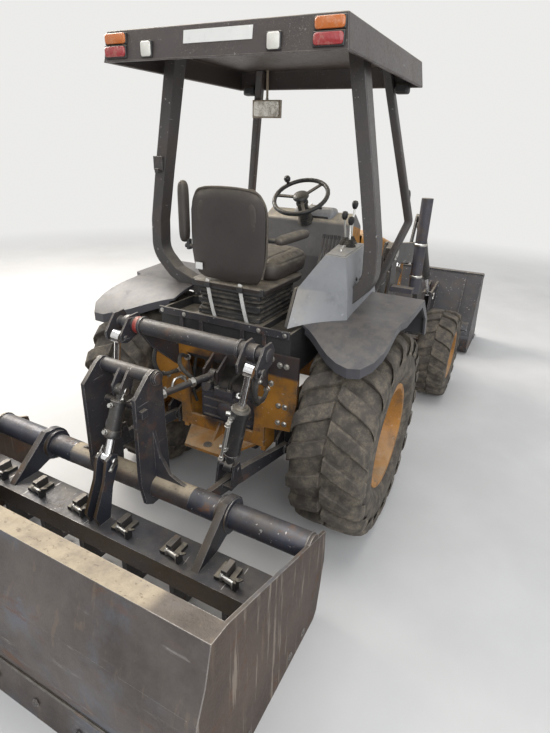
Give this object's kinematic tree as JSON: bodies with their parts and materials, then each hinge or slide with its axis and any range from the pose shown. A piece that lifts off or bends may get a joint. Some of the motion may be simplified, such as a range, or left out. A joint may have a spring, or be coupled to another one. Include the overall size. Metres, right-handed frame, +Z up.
{
  "type": "tractor loader with box scraper",
  "caption": "Tractor with an open canopy, front loader bucket on lift arms, steered front wheels, and a rear hitch that carries a box scraper with a ripper bar.",
  "frame": {"origin": "middle of the base rectangle, on the ground", "axes": "+X forwards, +Y to the left, +Z up"},
  "size_m": [6.027, 2.29, 2.7],
  "materials": {
    "tyre": "dusty black tyre rubber",
    "yellow_paint": "worn orange-yellow paint with dust",
    "arm_paint": "scuffed orange-yellow paint",
    "black_paint": "scratched black paint with rust",
    "worn_steel": "bare steel, scratched and rusty",
    "cast_iron": "dirty cast iron",
    "chrome": "polished rod",
    "grey_plastic": "moulded grey plastic",
    "light_plastic": "light grey moulded panel",
    "dark_plastic": "dark plastic and painted steel",
    "vinyl": "dark brown-grey vinyl",
    "bellows": "ribbed black rubber",
    "lamp": "amber, red and clear lamp lenses",
    "exhaust": "sooty heat-proof black"
  },
  "bodies": {
    "tractor": {"frame_rails": "yellow_paint", "transaxle": "cast_iron", "front_axle": "cast_iron", "rear_frame": "yellow_paint", "hood": "yellow_paint", "nose_grille": "dark_plastic", "side_screens": "dark_plastic", "engine_block": "cast_iron", "loader_tower": "yellow_paint", "hitch_frame": "black_paint", "hitch_clevises": "black_paint", "link_mounts": "black_paint", "platform": "dark_plastic", "seat_base": "bellows", "seat_cushion": "vinyl", "seat_back": "vinyl", "armrests": "vinyl", "cowl": "grey_plastic", "steering_wheel": "dark_plastic", "fender_left": "grey_plastic", "fender_right": "grey_plastic", "side_console": "light_plastic", "rear_posts": "black_paint", "front_posts": "black_paint", "canopy_roof": "grey_plastic", "roof_lamps": "lamp", "mirrors": "dark_plastic", "exhaust_stack": "exhaust", "grab_handle": "black_paint", "control_levers": "dark_plastic"},
    "rear_wheel_left": {"tyre_rear_left": "tyre", "rim_rear_left": "yellow_paint"},
    "rear_wheel_right": {"tyre_rear_right": "tyre", "rim_rear_right": "yellow_paint"},
    "front_wheel_left": {"tyre_front_left": "tyre", "rim_front_left": "yellow_paint"},
    "front_wheel_right": {"tyre_front_right": "tyre", "rim_front_right": "yellow_paint"},
    "knuckle_left": {"knuckle_left": "cast_iron"},
    "knuckle_right": {"knuckle_right": "cast_iron"},
    "steering_rod": {"steering_rod": "chrome"},
    "loader_arms": {"loader_arms": "arm_paint"},
    "bucket": {"bucket": "worn_steel"},
    "lift_barrels": {"lift_barrels": "black_paint"},
    "lift_rods": {"lift_rods": "chrome"},
    "dump_barrels": {"dump_barrels": "black_paint"},
    "dump_rods": {"dump_rods": "chrome"},
    "lower_links": {"lower_links": "black_paint"},
    "top_link": {"top_link": "black_paint"},
    "box_scraper": {"box_shell": "worn_steel", "box_mast": "black_paint"},
    "hitch_barrel_left": {"hitch_barrel_left": "black_paint"},
    "hitch_rod_left": {"hitch_rod_left": "chrome"},
    "hitch_barrel_right": {"hitch_barrel_right": "black_paint"},
    "hitch_rod_right": {"hitch_rod_right": "chrome"},
    "ripper": {"ripper_bar": "black_paint", "ripper_shanks": "worn_steel"},
    "ripper_barrel": {"ripper_barrel": "black_paint"},
    "ripper_rod": {"ripper_rod": "chrome"}
  },
  "joints": [
    {"name": "rear_wheel_left_spin", "type": "hinge", "parent": "tractor", "child": "rear_wheel_left", "pos_m": [-1.1165, 0.652, 0.634], "axis": [0, 1, 0], "continuous": true},
    {"name": "rear_wheel_right_spin", "type": "hinge", "parent": "tractor", "child": "rear_wheel_right", "pos_m": [-1.1165, -0.856, 0.634], "axis": [0, 1, 0], "continuous": true},
    {"name": "steer_left", "type": "hinge", "parent": "tractor", "child": "knuckle_left", "pos_m": [0.9835, 0.558, 0.419], "axis": [0, 0, 1], "range_deg": [-30, 30]},
    {"name": "steer_right", "type": "hinge", "parent": "tractor", "child": "knuckle_right", "pos_m": [0.9835, -0.762, 0.419], "axis": [0, 0, 1], "range_deg": [-30.01, 30.01]},
    {"name": "steer_rod_stroke", "type": "slide", "parent": "tractor", "child": "steering_rod", "axis": [0, 1, 0], "range_m": [-0.0851, 0.0851]},
    {"name": "front_wheel_left_spin", "type": "hinge", "parent": "knuckle_left", "child": "front_wheel_left", "pos_m": [0.9835, 0.758, 0.419], "axis": [0, 1, 0], "continuous": true},
    {"name": "front_wheel_right_spin", "type": "hinge", "parent": "knuckle_right", "child": "front_wheel_right", "pos_m": [0.9835, -0.962, 0.419], "axis": [0, 1, 0], "continuous": true},
    {"name": "loader_lift", "type": "hinge", "parent": "tractor", "child": "loader_arms", "pos_m": [0.0335, -0.102, 1.5], "axis": [0, -1, 0], "range_deg": [0, 80]},
    {"name": "lift_cylinder_swing", "type": "hinge", "parent": "tractor", "child": "lift_barrels", "pos_m": [0.1835, -0.102, 0.6], "axis": [0, -1, 0], "range_deg": [-0.01, 32.82]},
    {"name": "lift_cylinder_stroke", "type": "slide", "parent": "lift_barrels", "child": "lift_rods", "axis": [0.6102, 0, 0.7922], "range_m": [-0.0001, 0.65285]},
    {"name": "bucket_curl", "type": "hinge", "parent": "loader_arms", "child": "bucket", "pos_m": [1.8335, -0.102, 0.3], "axis": [0, -1, 0], "range_deg": [-105, 30]},
    {"name": "dump_cylinder_swing", "type": "hinge", "parent": "loader_arms", "child": "dump_barrels", "pos_m": [0.9435, -0.102, 1.66], "axis": [0, -1, 0], "range_deg": [-9.92, 2.84]},
    {"name": "dump_cylinder_stroke", "type": "slide", "parent": "dump_barrels", "child": "dump_rods", "axis": [0.7401, 0, -0.6725], "range_m": [-0.18185, 0.63623]},
    {"name": "hitch_lift", "type": "hinge", "parent": "tractor", "child": "lower_links", "pos_m": [-1.4365, -0.102, 0.55], "axis": [0, 1, 0], "range_deg": [0, 26]},
    {"name": "box_pitch", "type": "hinge", "parent": "lower_links", "child": "box_scraper", "pos_m": [-2.0165, -0.102, 0.5], "axis": [0, 1, 0], "range_deg": [-22.01, 0]},
    {"name": "top_link_swing", "type": "hinge", "parent": "tractor", "child": "top_link", "pos_m": [-1.5865, -0.102, 1], "axis": [0, 1, 0], "range_deg": [0, 35.82]},
    {"name": "hitch_cylinder_left_swing", "type": "hinge", "parent": "lower_links", "child": "hitch_barrel_left", "pos_m": [-1.8565, 0.43334, 0.63], "axis": [0.1873, -0.9654, -0.1814], "range_deg": [-0.01, 36.19]},
    {"name": "hitch_cylinder_left_stroke", "type": "slide", "parent": "hitch_barrel_left", "child": "hitch_rod_left", "axis": [-0.0478, -0.1934, 0.98], "range_m": [-0.1597, 0.0001]},
    {"name": "hitch_cylinder_right_swing", "type": "hinge", "parent": "lower_links", "child": "hitch_barrel_right", "pos_m": [-1.8565, -0.37666, 0.63], "axis": [0.2128, -0.9551, -0.206], "range_deg": [-0.01, 35.95]},
    {"name": "hitch_cylinder_right_stroke", "type": "slide", "parent": "hitch_barrel_right", "child": "hitch_rod_right", "axis": [-0.0475, -0.2207, 0.9742], "range_m": [-0.15844, 0.0001]},
    {"name": "ripper_swing", "type": "hinge", "parent": "box_scraper", "child": "ripper", "pos_m": [-2.1065, -0.102, 0.56], "axis": [0, 1, 0], "range_deg": [-15, 20]},
    {"name": "ripper_cylinder_swing", "type": "hinge", "parent": "box_scraper", "child": "ripper_barrel", "pos_m": [-2.1265, 0.078, 1.085], "axis": [0, -1, 0], "range_deg": [-8.21, 10.94]},
    {"name": "ripper_cylinder_stroke", "type": "slide", "parent": "ripper_barrel", "child": "ripper_rod", "axis": [-0.3956, 0, -0.9184], "range_m": [-0.06492, 0.04871]}
  ],
  "couplings": [
    {"joint": "steer_right", "follows": "steer_left", "ratio": 1},
    {"joint": "steer_rod_stroke", "follows": "steer_left", "m_per_rad": -0.16234},
    {"joint": "lift_cylinder_swing", "follows": "loader_lift", "ratio": 0.41016},
    {"joint": "lift_cylinder_stroke", "follows": "loader_lift", "m_per_rad": 0.4675},
    {"joint": "dump_cylinder_swing", "follows": "bucket_curl", "ratio": 0.094369},
    {"joint": "dump_cylinder_stroke", "follows": "bucket_curl", "m_per_rad": -0.34712},
    {"joint": "box_pitch", "follows": "hitch_lift", "ratio": -0.84615},
    {"joint": "top_link_swing", "follows": "hitch_lift", "ratio": 1.3774},
    {"joint": "hitch_cylinder_left_swing", "follows": "hitch_lift", "ratio": 1.3917},
    {"joint": "hitch_cylinder_left_stroke", "follows": "hitch_lift", "m_per_rad": -0.3517},
    {"joint": "hitch_cylinder_right_swing", "follows": "hitch_lift", "ratio": 1.3823},
    {"joint": "hitch_cylinder_right_stroke", "follows": "hitch_lift", "m_per_rad": -0.34893},
    {"joint": "ripper_cylinder_swing", "follows": "ripper_swing", "ratio": 0.5465},
    {"joint": "ripper_cylinder_stroke", "follows": "ripper_swing", "m_per_rad": -0.18569}
  ]
}
